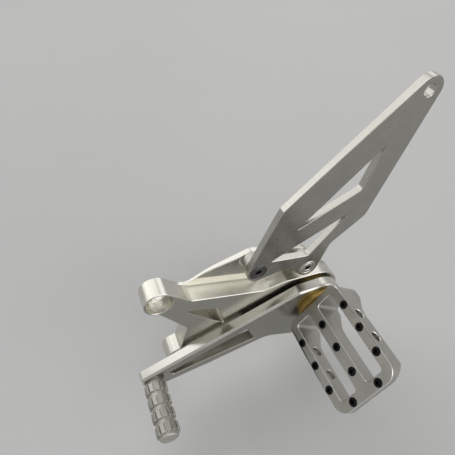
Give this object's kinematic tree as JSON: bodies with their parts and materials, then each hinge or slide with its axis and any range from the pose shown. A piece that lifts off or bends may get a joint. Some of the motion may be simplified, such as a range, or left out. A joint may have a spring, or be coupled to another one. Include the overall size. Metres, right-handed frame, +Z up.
{
  "type": "rear sets footrest",
  "caption": "Rear set footrest with milled frame hanger, slotted foot peg with grip screws, pivoting shift lever with toothed toe peg, and a windowed heel guard.",
  "frame": {"origin": "axis of the upper frame bolt, on the hanger bracket's inner seating face", "axes": "+X forward, +Y outboard (left), +Z up"},
  "size_m": [0.2048, 0.1085, 0.2004],
  "materials": {
    "bracket_aluminium": "milled satin with fine tool marks",
    "guard_aluminium": "fine blasted satin plate with bright edges",
    "lever_aluminium": "milled satin with fine tool marks",
    "peg_aluminium": "milled satin",
    "turned_aluminium": "turned satin",
    "bronze": "turned bronze",
    "bright_steel": "zinc plated, bright",
    "dark_screw": "dark burnished",
    "black_screw": "black oxide",
    "dark_washer": "dark anodised satin"
  },
  "bodies": {
    "hanger": {"hanger_bracket": "bracket_aluminium", "heel_guard": "guard_aluminium", "guard_spacer_front": "turned_aluminium", "guard_spacer_rear": "turned_aluminium", "guard_screw_front": "dark_screw", "guard_screw_rear": "bright_steel", "foot_peg": "peg_aluminium", "grip_screws": "black_screw", "peg_bolt": "bright_steel", "peg_bolt_washer": "dark_washer"},
    "lever": {"shift_lever": "lever_aluminium", "pivot_bush_inner": "bronze", "pivot_bush_outer": "bronze", "toe_peg": "turned_aluminium", "toe_peg_bolt": "bright_steel"}
  },
  "joints": [
    {"name": "lever_pivot", "type": "hinge", "parent": "hanger", "child": "lever", "pos_m": [-0.108, 0.0203, -0.057], "axis": [0, 1, 0], "range_deg": [-15, 15]}
  ]
}
